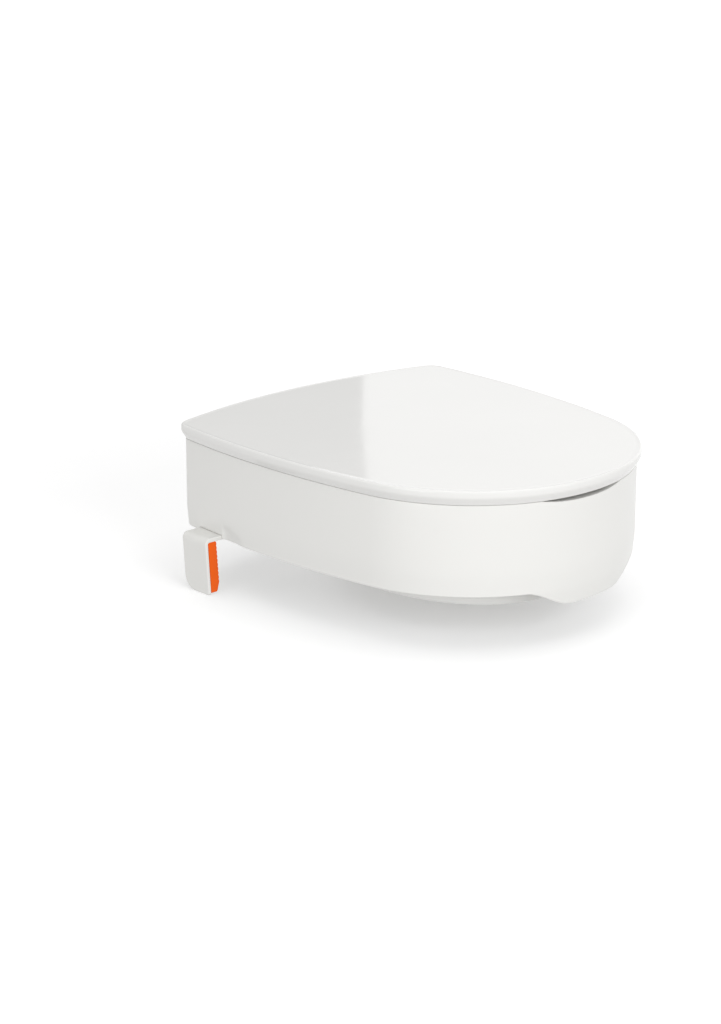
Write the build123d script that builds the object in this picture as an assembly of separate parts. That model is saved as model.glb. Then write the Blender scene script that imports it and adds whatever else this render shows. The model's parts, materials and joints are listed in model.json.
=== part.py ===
from build123d import *
from math import asin, cos, degrees, radians, sin, sqrt, tan
import os

# Raised toilet seat with a hinged lid and two adjustable side brackets.
# The seat is clamped on the rim of a toilet pan. The frame's origin is on the pan's rim plane, in the
# middle of the seat. +X is towards the user's left as they sit, -Y is the front, and +Z is up.
# The half at -X is called right, as the user sits. All lengths are millimetres.

# ---- plan outline of the lid: tangent arcs, each given by its radius and the angle where it ends.
# Angles are those of the outward normal, from -Y (0) round to +Y (180).
NOSE_Y = -213.5
NOSE_R, NOSE_END = 192.0, 5.0
SHOULDER_R, SHOULDER_END = 164.0, 79.5
SIDE_R, SIDE_END = 896.0, 96.0
CORNER_R = 18.0
REAR_R = 604.0

# ---- heights
LID_TOP = 106.5
LID_EDGE = 92.0  # bottom of the lid's rim
SEAT_TOP = 91.2
SKIRT_BOTTOM = 1.5
APRON_BOTTOM = -15.8
WELL_BOTTOM = -28.0

# ---- moulded seat shell
BODY_INSET = 4.5  # the skirt's outer face, inside the lid's outline
TUCK, TUCK_TOP = 1.6, 26.0  # the skirt's foot draws in by TUCK below this height
WALL = 3.2
SEAT_PLATE = 4.0
SEAT_EDGE_R = 1.0
OPENING_X, OPENING_Y = 104.0, 134.0  # half axes of the opening at the top
OPENING_CENTRE = -22.0
WELL_DRAFT = 8.0  # how much smaller the well is at its foot
OPENING_EDGE_R = 6.0
DIP_DEPTH, DIP_HALF = 4.2, 54.0  # finger dip under the lid's front edge
APRON_X = 17.5  # the tongue's middle, a little to the left of the seat's
APRON_HALF_TOP, APRON_HALF_BOTTOM = 79.5, 36.5
APRON_TUCK = 3.0
BOSS_R, BOSS_HOLE_R, BOSS_INSET = 4.5, 1.6, 19.0
BOSS_ANGLES, BOSS_REAR = (22, 58, 88), (118.0, 184.0)

# ---- base plate and what hangs on it
BASE_BOTTOM, BASE_T = 4.3, 3.0
BASE_TOP = BASE_BOTTOM + BASE_T
FIT = 0.3
SCREW_HEAD_R, SCREW_HEAD_H, SCREW_R = 3.6, 1.8, 1.55
PAD_L, PAD_W = 46.0, 15.0
PAD_INSET, PAD_END = 27.0, 88.0
PAD_EDGE_R = 0.8
REAR_PAD_X, REAR_PAD_Y = 80.0, 184.0

# ---- side brackets, built at -X and mirrored
BRACKET_Y0, BRACKET_Y1 = 123.0, 160.0  # the plate's front and rear edges
BRACKET_Y = 139.5  # middle of the arm and its guide
BEND_R, LEG_FRONT_R, LEG_REAR_R = 6.0, 3.0, 14.0
LEG_X, LEG_BOTTOM, LEG_LEAN, LEG_T = 192.2, -53.8, 3.6, 3.0
ARM_BOTTOM, ARM_TOP = 1.0, 5.0
FLANGE_IN = 166.0
ARM_IN, ARM_HALF = 30.0, 16.0
WING_OUT, WING_HALF, WING_TOP = 128.0, 20.0, 7.5
TOOTH, TOOTH_PITCH, TEETH, TEETH_OUT = 0.9, 3.0, 27, 142.0
GRIP_T, GRIP_T_LOW, GRIP_BOTTOM = 10.6, 11.0, -52.4
GRIP_FACE_TOP, GRIP_FACE_BOTTOM = -0.8, -42.0
GRIP_FOOT = 7.6  # thickness at the foot of the lead-in
GUIDE_IN, GUIDE_OUT, GUIDE_HALF, GUIDE_TOP = 14.0, 150.0, 24.0, 10.6
GUIDE_LIP_BOTTOM = 2.4
SLIDE_GAP = 0.4
GUIDE_EAR = 30.0  # screws of the guide, from its middle
GUIDE_SCREW_X = (34.0, 66.0)

# ---- cam lever that locks each bracket
LEVER_X, LEVER_Y = 128.0, 103.0
LEVER_BOTTOM, LEVER_TOP = 1.3, 4.0
LEVER_HUB_R, CAM_REACH, CAM_R = 9.0, 20.1, 5.0
HANDLE_L, HANDLE_R, HANDLE_DROP = 46.0, 6.0, 2.0
DIMPLE_R, DIMPLE_DEPTH = 3.2, 0.6
PIN_R, PIN_GAP = 2.5, 0.05

# ---- lid hinge
HINGE_Y, HINGE_Z = 213.5, 85.5
HINGE_PIN_R, EAR_R = 3.0, 5.5
LUG_IN, EAR_IN, EAR_OUT, LUG_OUT = 54.0, 60.4, 83.6, 90.0
BLOCK_BOTTOM = 64.0
HINGE_SCREW_X, HINGE_SCREW_Z = (65.0, 79.0), 71.0
LID_T, LIP_T = 3.2, 8.5
LID_TOP_EDGE_R = 3.0
LID_BEVEL, LID_BEVEL_TOP = 5.0, 99.0  # the rim's foot draws in below this height
BUFFER_R, BUFFER_TOP = 7.0, LID_EDGE + 2.4
BUFFER_FRONT, BUFFER_REAR = (36, 40), (88, 38)  # angle and inset


def normal(angle):
    """Unit vector at this angle from -Y, turning towards +X."""
    return Vector(sin(radians(angle)), -cos(radians(angle)), 0)


def plan_arcs():
    """(centre, radius, start angle, end angle) of the right half's arcs, nose to rear."""
    arcs = []
    centre, start = Vector(0, NOSE_Y + NOSE_R, 0), 0.0
    chain = [(NOSE_R, NOSE_END), (SHOULDER_R, SHOULDER_END), (SIDE_R, SIDE_END), (CORNER_R, None)]
    for (radius, end), (following, _) in zip(chain, chain[1:]):
        arcs.append((centre, radius, start, end))
        centre = centre + normal(end) * (radius - following)
        start = end
    corner_end = 180 - degrees(asin(centre.X / (REAR_R - CORNER_R)))
    arcs.append((centre, CORNER_R, start, corner_end))
    centre = centre + normal(corner_end) * (CORNER_R - REAR_R)
    arcs.append((centre, REAR_R, corner_end, 180.0))
    return arcs


ARCS = plan_arcs()


def on_plan(angle, inset=0.0):
    """Point of the outline whose outward normal is at this angle."""
    for centre, radius, start, end in ARCS:
        if start <= angle <= end:
            return centre + normal(angle) * (radius - inset)
    raise ValueError(angle)


def plan_arc(centre, radius, start, end, inset=0.0, z=0.0, side=1):
    """Edge along one arc of the outline, moved in by inset; side -1 mirrors it."""
    points = [centre + normal(a) * (radius - inset) for a in (start, (start + end) / 2, end)]
    return ThreePointArc(*[(side * p.X, p.Y, z) for p in points])


def plan(inset=0.0, z=0.0):
    """Face inside the outline, moved in by inset, at height z."""
    nose, *sides, rear = ARCS
    edges = [plan_arc(nose[0], nose[1], -nose[3], nose[3], inset, z)]
    edges += [plan_arc(*s, inset, z, side) for s in sides for side in (1, -1)]
    edges += [plan_arc(rear[0], rear[1], rear[2], 360 - rear[2], inset, z)]
    return make_face(edges)


def horseshoe(inset, width, end):
    """Face of a band round the front, between two insets, to this normal angle on both sides."""
    nose, shoulder, side_arc = ARCS[:3]
    side_arc = (side_arc[0], side_arc[1], side_arc[2], end)
    edges = []
    for depth in (inset, inset + width):
        edges += [plan_arc(nose[0], nose[1], -nose[3], nose[3], depth)]
        edges += [plan_arc(*a, depth, 0, side) for a in (shoulder, side_arc) for side in (1, -1)]
    outer, inner = on_plan(end, inset), on_plan(end, inset + width)
    edges += [Line((s * outer.X, outer.Y), (s * inner.X, inner.Y)) for s in (1, -1)]
    return make_face(edges)


def block(x0, x1, y0, y1, z0, z1):
    """Box between two corners."""
    return Pos((x0 + x1) / 2, (y0 + y1) / 2, (z0 + z1) / 2) * Box(abs(x1 - x0), abs(y1 - y0), abs(z1 - z0))


def rod(radius, start, end):
    """Cylinder from one point to another."""
    start, end = Vector(*start), Vector(*end)
    plane = Plane(origin=start, z_dir=end - start)
    return extrude(plane * Circle(radius), (end - start).length)


def both(shape):
    """The shape and its mirror image in the YZ plane."""
    return [shape, mirror(shape, about=Plane.YZ)]


def oval(grow, z):
    """Ellipse of the opening at height z, made larger all round by grow."""
    share = (SEAT_TOP - z) / (SEAT_TOP - WELL_BOTTOM)
    shrink = WELL_DRAFT * share
    return Pos(0, OPENING_CENTRE, z) * Ellipse(OPENING_X - shrink + grow, OPENING_Y - shrink + grow)


def well(grow, top, bottom):
    """Solid of the tapered opening between two heights."""
    return loft([oval(grow, bottom), oval(grow, top)], ruled=True)


def skirt_inset(z):
    """How far the skirt's outer face is inside the lid's outline at height z."""
    share = (TUCK_TOP - z) / (TUCK_TOP - SKIRT_BOTTOM)
    return BODY_INSET + TUCK * min(max(share, 0), 1)


def skirt_solid(depth, top):
    """Solid inside the skirt's outer face, moved in by depth, up to this height."""
    foot = loft([plan(skirt_inset(SKIRT_BOTTOM) + depth, SKIRT_BOTTOM), plan(BODY_INSET + depth, TUCK_TOP)],
                ruled=True)
    return foot + extrude(plan(BODY_INSET + depth, TUCK_TOP), top - TUCK_TOP)


# ---------------------------------------------------------------- places that parts share
def boss_places():
    """Where the base plate is screwed to the shell."""
    right = [on_plan(a, BOSS_INSET) for a in BOSS_ANGLES] + [Vector(*BOSS_REAR, 0)]
    return [Vector(s * p.X, p.Y, 0) for p in right for s in (1, -1)]


def guide_screw_places():
    return [Vector(s * x, BRACKET_Y + dy, 0) for s in (1, -1) for x in GUIDE_SCREW_X
            for dy in (-GUIDE_EAR, GUIDE_EAR)]


def hinge_screw_places():
    """(x, z) of the screws through the hinge blocks."""
    return [(s * x, HINGE_SCREW_Z) for s in (1, -1) for x in HINGE_SCREW_X]


# ---------------------------------------------------------------- seat shell
def apron():
    """Tongue at the front of the skirt that hangs over the pan's rim."""
    top = SKIRT_BOTTOM + 8
    low = APRON_BOTTOM - 2
    foot = skirt_inset(SKIRT_BOTTOM)
    slope = APRON_TUCK / (SKIRT_BOTTOM - APRON_BOTTOM)
    levels = [(top, skirt_inset(top)), (SKIRT_BOTTOM, foot), (low, foot + slope * (SKIRT_BOTTOM - low))]

    def stack(inset):
        pieces = [loft([plan(inset + d1, z1), plan(inset + d0, z0)], ruled=True)
                  for (z0, d0), (z1, d1) in zip(levels, levels[1:])]
        return pieces[0] + pieces[1]

    band = stack(0) - stack(WALL)
    middle_x = (APRON_HALF_TOP + APRON_HALF_BOTTOM) / 2
    middle_z = (SKIRT_BOTTOM + APRON_BOTTOM) / 2
    with BuildSketch(Plane.XZ) as front:
        with BuildLine():
            left = Spline((APRON_HALF_TOP, SKIRT_BOTTOM), (middle_x, middle_z),
                          (APRON_HALF_BOTTOM, APRON_BOTTOM), tangents=[(-1, 0), (-1, 0)])
            right = Spline((-APRON_HALF_TOP, SKIRT_BOTTOM), (-middle_x, middle_z),
                           (-APRON_HALF_BOTTOM, APRON_BOTTOM), tangents=[(1, 0), (1, 0)])
            Line(left @ 1, right @ 1)
            Polyline(right @ 0, (-APRON_HALF_TOP, top), (APRON_HALF_TOP, top), left @ 0)
        make_face()
    return band & extrude(Pos(APRON_X, NOSE_Y + 95, 0) * front.sketch, 110)


def finger_dip():
    """Shallow hollow, an arc of a circle, across the seat's front edge."""
    above = SEAT_TOP + 5
    with BuildSketch(Plane.XZ) as section:
        with BuildLine():
            ThreePointArc((-DIP_HALF, SEAT_TOP), (0, SEAT_TOP - DIP_DEPTH), (DIP_HALF, SEAT_TOP))
            Polyline((DIP_HALF, SEAT_TOP), (DIP_HALF, above), (-DIP_HALF, above), (-DIP_HALF, SEAT_TOP))
        make_face()
    return extrude(Pos(0, OPENING_CENTRE - 40, 0) * section.sketch, 200)


def seat_shell():
    """Seat, skirt and well in one moulding."""
    body = skirt_solid(0, SEAT_TOP)
    body = fillet(body.edges().group_by(Axis.Z)[-1], SEAT_EDGE_R)
    ceiling = SEAT_TOP - SEAT_PLATE
    hollow = skirt_solid(WALL, ceiling)
    hollow -= block(-DIP_HALF - 8, DIP_HALF + 8, NOSE_Y, NOSE_Y + 90, ceiling - DIP_DEPTH - 1, ceiling + 1)
    for p in boss_places():
        hollow -= rod(BOSS_R, (p.X, p.Y, BASE_TOP), (p.X, p.Y, ceiling + 1))
    for x, z in hinge_screw_places():
        hollow -= rod(BOSS_R, (x, HINGE_Y - 24, z), (x, HINGE_Y, z))
    body -= hollow
    body += well(WALL, ceiling + 1, WELL_BOTTOM)
    body += apron()
    body -= well(0, SEAT_TOP, WELL_BOTTOM)
    ellipses = body.edges().filter_by(GeomType.ELLIPSE)
    mouth = ellipses.filter_by_position(Axis.Z, SEAT_TOP - 0.01, SEAT_TOP + 0.01)
    body = fillet(mouth, OPENING_EDGE_R)
    body -= finger_dip()
    for p in boss_places():
        body -= rod(BOSS_HOLE_R, (p.X, p.Y, BASE_TOP - 1), (p.X, p.Y, BASE_TOP + 14))
    for x, z in hinge_screw_places():
        body -= rod(BOSS_HOLE_R, (x, HINGE_Y - 20, z), (x, HINGE_Y + 20, z))
    for s in (1, -1):
        body -= block(s * 140, s * 200, BRACKET_Y0 - SLIDE_GAP, BRACKET_Y1 + SLIDE_GAP,
                      SKIRT_BOTTOM - 5, ARM_TOP + SLIDE_GAP)
    return body


def base_plate():
    """Plate that closes the shell from below and carries the bracket guides."""
    plate = extrude(plan(skirt_inset(SKIRT_BOTTOM) + WALL + FIT, BASE_BOTTOM), BASE_T)
    plate -= well(WALL + FIT, BASE_TOP + 1, BASE_BOTTOM - 1)
    for s in (1, -1):
        plate -= block(s * (GUIDE_IN - FIT), s * 200, BRACKET_Y - GUIDE_HALF - FIT,
                       BRACKET_Y + GUIDE_HALF + FIT, 0, 20)
        plate -= rod(PIN_R, (s * LEVER_X, LEVER_Y, 0), (s * LEVER_X, LEVER_Y, 20))
    for p in boss_places():
        plate -= rod(SCREW_R + 0.4, (p.X, p.Y, 0), (p.X, p.Y, 20))
    for p in guide_screw_places():
        plate -= rod(SCREW_R, (p.X, p.Y, 0), (p.X, p.Y, 20))
    return plate


def screw(x, y, top):
    """Pan-head screw that points up from below the base plate, with a cross slot."""
    head = rod(SCREW_HEAD_R, (x, y, BASE_BOTTOM - SCREW_HEAD_H), (x, y, BASE_BOTTOM))
    head = fillet(head.edges().group_by(Axis.Z)[0], 0.8)
    low = BASE_BOTTOM - SCREW_HEAD_H
    head -= block(x - 2, x + 2, y - 0.4, y + 0.4, low, low + 1)
    head -= block(x - 0.4, x + 0.4, y - 2, y + 2, low, low + 1)
    return head + rod(SCREW_R, (x, y, BASE_BOTTOM), (x, y, top))


def base_screws():
    return Compound(children=[screw(p.X, p.Y, BASE_TOP + 12) for p in boss_places()])


def rim_pad_front():
    """Horseshoe of rubber that rests on the pan's rim round the front and both sides."""
    pad = extrude(horseshoe(PAD_INSET, PAD_W, PAD_END), BASE_BOTTOM)
    return fillet(pad.edges().group_by(Axis.Z)[0], PAD_EDGE_R)


def rim_pad_rear():
    """Short pad on the pan's rim behind the right bracket."""
    pad = extrude(SlotOverall(PAD_L, PAD_W), BASE_BOTTOM)
    pad = fillet(pad.edges().group_by(Axis.Z)[0], PAD_EDGE_R)
    return Pos(-REAR_PAD_X, REAR_PAD_Y, 0) * pad


# ---------------------------------------------------------------- side brackets, at -X
def leg_x(z, depth=0.0):
    """x of the leaning leg at height z, at this depth behind its outer face."""
    return -(LEG_X - (ARM_TOP - z) * tan(radians(LEG_LEAN)) - depth)


def side_view(top, bottom, front_r, rear_r):
    """Slab whose outline in the YZ plane is the leg's, with round corners."""
    with BuildSketch(Plane.YZ) as outline:
        with BuildLine():
            FilletPolyline((BRACKET_Y0, top + 20), (BRACKET_Y0, bottom), (BRACKET_Y1, bottom),
                           (BRACKET_Y1, top + 20), radius=[front_r, rear_r])
            Line((BRACKET_Y1, top + 20), (BRACKET_Y0, top + 20))
        make_face()
    return extrude(Pos(-220, 0, 0) * outline.sketch, 80)


def bracket():
    """Arm with a serrated edge, top flange and leaning leg in one moulding."""
    with BuildSketch(Plane.XZ) as section:
        with BuildLine():
            FilletPolyline((-FLANGE_IN, ARM_TOP), (leg_x(ARM_TOP), ARM_TOP), (leg_x(LEG_BOTTOM), LEG_BOTTOM),
                           radius=[BEND_R])
            Polyline((leg_x(LEG_BOTTOM), LEG_BOTTOM), (leg_x(LEG_BOTTOM, LEG_T), LEG_BOTTOM),
                     (leg_x(ARM_BOTTOM, LEG_T), ARM_BOTTOM), (-FLANGE_IN, ARM_BOTTOM), (-FLANGE_IN, ARM_TOP))
        make_face()
    hook = extrude(Pos(0, BRACKET_Y1, 0) * section.sketch, BRACKET_Y1 - BRACKET_Y0)
    hook &= side_view(ARM_TOP, LEG_BOTTOM, LEG_FRONT_R, LEG_REAR_R)
    front, rear = BRACKET_Y - ARM_HALF, BRACKET_Y + ARM_HALF
    points = [(-FLANGE_IN - 1, front)]
    for i in range(TEETH):
        x = -TEETH_OUT + i * TOOTH_PITCH
        points += [(x, front), (x + TOOTH_PITCH / 2, front + TOOTH)]
    points += [(x + TOOTH_PITCH, front), (-ARM_IN, front), (-ARM_IN, rear), (-FLANGE_IN - 1, rear)]
    arm = extrude(Pos(0, 0, ARM_BOTTOM) * make_face(Polyline(*points, close=True)), ARM_TOP - ARM_BOTTOM)
    wings = block(-WING_OUT, -ARM_IN, BRACKET_Y - WING_HALF, BRACKET_Y + WING_HALF, ARM_TOP, WING_TOP)
    return hook + arm + wings


def grip_pad():
    """Rubber pad inside the leg, with a lead-in at its lower inner edge."""
    top = ARM_BOTTOM
    face_top = leg_x(GRIP_FACE_TOP, LEG_T + GRIP_T)
    face_bottom = leg_x(GRIP_FACE_BOTTOM, LEG_T + GRIP_T_LOW)
    profile = [(leg_x(top, LEG_T), top), (leg_x(GRIP_BOTTOM, LEG_T), GRIP_BOTTOM),
               (leg_x(GRIP_BOTTOM, LEG_T + GRIP_FOOT), GRIP_BOTTOM), (face_bottom, GRIP_FACE_BOTTOM),
               (face_top, GRIP_FACE_TOP), (leg_x(top, LEG_T + GRIP_T - 1.2), top)]
    face = make_face(Plane.XZ * Polyline(*profile, close=True))
    pad = extrude(Pos(0, BRACKET_Y1 - 0.6, 0) * face, BRACKET_Y1 - BRACKET_Y0 - 1.2)
    return pad & side_view(top, GRIP_BOTTOM, LEG_FRONT_R - 1, LEG_REAR_R - 1)


def arm_guide():
    """Channel that the bracket's arm slides in, with lips under the arm's wings."""
    y0, y1 = BRACKET_Y - GUIDE_HALF, BRACKET_Y + GUIDE_HALF
    guide = block(-GUIDE_OUT, -GUIDE_IN, y0, y1, GUIDE_LIP_BOTTOM, GUIDE_TOP)
    gap = SLIDE_GAP
    guide -= block(-GUIDE_OUT - 1, -GUIDE_IN + 1, BRACKET_Y - WING_HALF - gap, BRACKET_Y + WING_HALF + gap,
                   ARM_TOP - gap, WING_TOP + gap)
    guide -= block(-GUIDE_OUT - 1, -GUIDE_IN + 1, BRACKET_Y - ARM_HALF - gap, BRACKET_Y + ARM_HALF + gap,
                   0, ARM_TOP)
    guide -= block(-LEVER_X - 10, -LEVER_X + 28, y0 - 1, BRACKET_Y - ARM_HALF, 0, ARM_TOP - gap)
    for p in guide_screw_places():
        if p.X < 0:
            side = 1 if p.Y > BRACKET_Y else -1
            inner = BRACKET_Y + side * (GUIDE_HALF - 1)
            ear = block(p.X - 5, p.X + 5, inner, p.Y + side * 5, GUIDE_LIP_BOTTOM, BASE_BOTTOM)
            guide += ear - rod(SCREW_R + 0.3, (p.X, p.Y, 0), (p.X, p.Y, 10))
    return guide


def guide_screws():
    drop = BASE_BOTTOM - GUIDE_LIP_BOTTOM
    low = [Pos(0, 0, -drop) * screw(p.X, p.Y, BASE_TOP + drop - 0.3) for p in guide_screw_places()]
    return Compound(children=low)


def lock_lever():
    """Flat cam lever; its lobe points at the arm's serrated edge when it locks."""
    thick = LEVER_TOP - LEVER_BOTTOM
    hub = extrude(Circle(LEVER_HUB_R), thick)
    neck = Circle(LEVER_HUB_R - 1).edges()
    tip = Pos(HANDLE_L - HANDLE_R, -HANDLE_DROP, 0)
    lobe = extrude(make_hull([*neck, *(Pos(0, CAM_REACH - CAM_R) * Circle(CAM_R)).edges()]), thick)
    handle = extrude(make_hull([*neck, *(tip * Circle(HANDLE_R)).edges()]), thick)
    dimple = tip * Cylinder(DIMPLE_R, 2 * DIMPLE_DEPTH)
    lever = hub + lobe + handle - dimple - Cylinder(PIN_R + PIN_GAP, 20)
    return Pos(-LEVER_X, LEVER_Y, LEVER_BOTTOM) * lever


def lever_pin():
    """Shouldered pin that the lever turns on."""
    at = (-LEVER_X, LEVER_Y)
    shank = rod(PIN_R, (*at, LEVER_BOTTOM - 0.1), (*at, BASE_TOP + 0.8))
    head = rod(PIN_R + 2, (*at, LEVER_BOTTOM - 1.1), (*at, LEVER_BOTTOM - 0.1))
    return fillet(head.edges().group_by(Axis.Z)[0], 0.5) + shank


# ---------------------------------------------------------------- hinge and lid
def hinge_block():
    """Block on the rear wall with two lugs for the hinge pin."""
    pad = block(-LUG_OUT - 2, -LUG_IN + 2, 190, 212, BLOCK_BOTTOM, HINGE_Z)
    pad = fillet(pad.edges().filter_by(Axis.Y), 4)
    pad &= extrude(plan(0, BLOCK_BOTTOM - 1), 40)
    shape = pad
    for x0, x1 in ((LUG_IN, EAR_IN - 0.4), (EAR_OUT + 0.4, LUG_OUT)):
        knuckle = rod(EAR_R, (-x0, HINGE_Y, HINGE_Z), (-x1, HINGE_Y, HINGE_Z))
        with BuildSketch(Plane.YZ) as web:
            Polygon((200, BLOCK_BOTTOM + 5), (208, BLOCK_BOTTOM + 5), (HINGE_Y + EAR_R - 0.5, HINGE_Z - 2.5),
                    (HINGE_Y, HINGE_Z + 2), (200, HINGE_Z + 3), align=None)
        shape = shape + knuckle + extrude(Pos(-x1, 0, 0) * web.sketch, x1 - x0)
    shape -= extrude(plan(BODY_INSET, 0), 120)
    shape -= rod(EAR_R + 0.8, (-EAR_IN + 0.2, HINGE_Y, HINGE_Z), (-EAR_OUT - 0.2, HINGE_Y, HINGE_Z))
    shape -= rod(HINGE_PIN_R, (-LUG_IN + 5, HINGE_Y, HINGE_Z), (-LUG_OUT - 5, HINGE_Y, HINGE_Z))
    for x, z in hinge_screw_places():
        shape -= rod(SCREW_R + 0.3, (x, 190, z), (x, 230, z))
    return shape


def hinge_pin():
    """Pin with a low domed head at its outer end."""
    pin = rod(HINGE_PIN_R, (-LUG_IN, HINGE_Y, HINGE_Z), (-LUG_OUT, HINGE_Y, HINGE_Z))
    head = rod(HINGE_PIN_R + 1.4, (-LUG_OUT, HINGE_Y, HINGE_Z), (-LUG_OUT - 1.6, HINGE_Y, HINGE_Z))
    return pin + fillet(head.edges().group_by(Axis.X)[0], 1.0)


def hinge_screws():
    screws = []
    for x, z in hinge_screw_places():
        face = ARCS[-1][0].Y + sqrt(REAR_R**2 - (abs(x) - SCREW_HEAD_R) ** 2) + 0.05
        head = rod(SCREW_HEAD_R, (x, face, z), (x, face + SCREW_HEAD_H, z))
        head = fillet(head.edges().group_by(Axis.Y)[-1], 0.8)
        top = face + SCREW_HEAD_H
        head -= block(x - 2, x + 2, top - 1, top, z - 0.4, z + 0.4)
        head -= block(x - 0.4, x + 0.4, top - 1, top, z - 2, z + 2)
        screws.append(head + rod(SCREW_R, (x, face - 11, z), (x, face, z)))
    return Compound(children=screws)


def buffer_places():
    right = {"front": on_plan(*BUFFER_FRONT), "rear": on_plan(*BUFFER_REAR)}
    return {f"{name}_{side}": Vector(s * p.X, p.Y, 0)
            for name, p in right.items() for side, s in (("left", 1), ("right", -1))}


def lid():
    """Moulded lid: flat top, rounded rim, hinge ears and bosses for its buffers."""
    shape = extrude(plan(0, LID_BEVEL_TOP), LID_TOP - LID_BEVEL_TOP)
    shape = fillet(shape.edges().group_by(Axis.Z)[-1], LID_TOP_EDGE_R)
    shape += loft([plan(LID_BEVEL, LID_EDGE), plan(0, LID_BEVEL_TOP)], ruled=True)
    ceiling = LID_TOP - LID_T
    shape -= extrude(plan(LIP_T, LID_EDGE - 1), ceiling - LID_EDGE + 1)
    for p in buffer_places().values():
        shape += rod(BUFFER_R - 1, (p.X, p.Y, BUFFER_TOP), (p.X, p.Y, ceiling + 0.5))
    for s in (1, -1):
        ear = rod(EAR_R, (s * EAR_IN, HINGE_Y, HINGE_Z), (s * EAR_OUT, HINGE_Y, HINGE_Z))
        with BuildSketch(Plane.YZ) as web:
            Polygon((HINGE_Y - EAR_R, HINGE_Z), (HINGE_Y + EAR_R, HINGE_Z), (HINGE_Y - 2, LID_EDGE + 9),
                    (HINGE_Y - 12, LID_TOP - 2), (HINGE_Y - 12, LID_EDGE + 4), (HINGE_Y - EAR_R, LID_EDGE),
                    align=None)
        web_solid = extrude(Pos(min(s * EAR_IN, s * EAR_OUT), 0, 0) * web.sketch, EAR_OUT - EAR_IN)
        shape += ear + web_solid
        shape -= rod(HINGE_PIN_R + PIN_GAP, (s * 40, HINGE_Y, HINGE_Z), (s * 100, HINGE_Y, HINGE_Z))
    return shape


def lid_buffers():
    """Rubber buffers that carry the closed lid, by name."""
    buffers = {}
    for name, p in buffer_places().items():
        puck = rod(BUFFER_R, (p.X, p.Y, SEAT_TOP + FIT), (p.X, p.Y, BUFFER_TOP))
        buffers[f"lid_buffer_{name}"] = fillet(puck.edges().group_by(Axis.Z)[0], 0.8)
    return buffers


def all_parts():
    parts = {
        "seat_shell": seat_shell(),
        "base_plate": base_plate(),
        "base_screws": base_screws(),
        "guide_screws": guide_screws(),
        "hinge_screws": hinge_screws(),
        "rim_pad_front": rim_pad_front(),
        "lid": lid(),
    }
    parts.update(lid_buffers())
    pairs = {"bracket": bracket, "grip_pad": grip_pad, "arm_guide": arm_guide, "lock_lever": lock_lever,
             "lever_pin": lever_pin, "hinge_block": hinge_block, "hinge_pin": hinge_pin,
             "rim_pad_rear": rim_pad_rear}
    for name, make in pairs.items():
        for side, shape in zip(("right", "left"), both(make())):
            parts[f"{name}_{side}"] = shape
    return parts


if __name__ == "__main__":
    os.makedirs("parts", exist_ok=True)
    for name, shape in all_parts().items():
        export_step(shape, f"parts/{name}.step")
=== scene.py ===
import json
from math import asin, cos, pi, radians, sin, sqrt, tan

import bmesh
import bpy
import numpy as np
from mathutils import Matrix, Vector


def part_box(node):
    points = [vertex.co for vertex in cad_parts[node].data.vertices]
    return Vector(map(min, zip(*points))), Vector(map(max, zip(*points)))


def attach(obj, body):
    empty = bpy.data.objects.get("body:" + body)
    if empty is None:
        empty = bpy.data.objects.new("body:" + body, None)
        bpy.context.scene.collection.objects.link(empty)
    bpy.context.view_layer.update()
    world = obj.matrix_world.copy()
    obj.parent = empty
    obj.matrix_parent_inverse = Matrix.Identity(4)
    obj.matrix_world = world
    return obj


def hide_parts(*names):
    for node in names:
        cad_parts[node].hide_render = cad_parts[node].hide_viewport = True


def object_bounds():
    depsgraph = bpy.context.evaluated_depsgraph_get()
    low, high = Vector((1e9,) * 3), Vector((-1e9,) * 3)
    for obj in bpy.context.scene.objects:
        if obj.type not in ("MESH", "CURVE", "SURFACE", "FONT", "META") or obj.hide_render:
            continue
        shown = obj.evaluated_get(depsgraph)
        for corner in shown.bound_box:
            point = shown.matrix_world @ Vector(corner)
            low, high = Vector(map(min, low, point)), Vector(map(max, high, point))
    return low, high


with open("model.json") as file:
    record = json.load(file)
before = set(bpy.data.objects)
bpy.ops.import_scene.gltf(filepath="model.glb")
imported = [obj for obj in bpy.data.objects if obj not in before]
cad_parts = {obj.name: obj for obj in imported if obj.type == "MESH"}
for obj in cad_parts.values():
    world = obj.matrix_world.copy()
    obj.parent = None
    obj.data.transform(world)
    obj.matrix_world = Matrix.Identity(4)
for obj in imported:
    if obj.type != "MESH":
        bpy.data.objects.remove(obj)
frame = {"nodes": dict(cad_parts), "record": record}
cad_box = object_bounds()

MM = 0.001


# ---------------------------------------------------------------- small helpers
def link(obj):
    """Put the object in the scene."""
    bpy.context.scene.collection.objects.link(obj)
    return obj


def direction(azimuth, elevation):
    """Unit vector towards a viewer at this azimuth and elevation in degrees."""
    a, e = radians(azimuth), radians(elevation)
    return Vector((sin(a) * cos(e), -cos(a) * cos(e), sin(e)))


def mesh_object(name, verts, faces):
    """Object with smooth shading from points in metres and faces."""
    mesh = bpy.data.meshes.new(name)
    mesh.from_pydata([tuple(v) for v in verts], [], faces)
    mesh.validate()
    mesh.polygons.foreach_set("use_smooth", [True] * len(mesh.polygons))
    return link(bpy.data.objects.new(name, mesh))


def sharpen(obj, angle):
    """Smooth shading with hard edges where faces meet at more than this angle."""
    obj.data.set_sharp_from_angle(angle=radians(angle))


# ---------------------------------------------------------------- camera
FOCUS_Y = -0.0027  # the point on the lid's top plane that the camera turns round
CAMERA_DISTANCE = 2.9412
CAMERA_LENS, CAMERA_SENSOR = 105.47, 36
CAMERA_STAND, CAMERA_LOOK = (-43.0, 16.04), (-41.47, 17.59)  # azimuth and elevation

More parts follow.
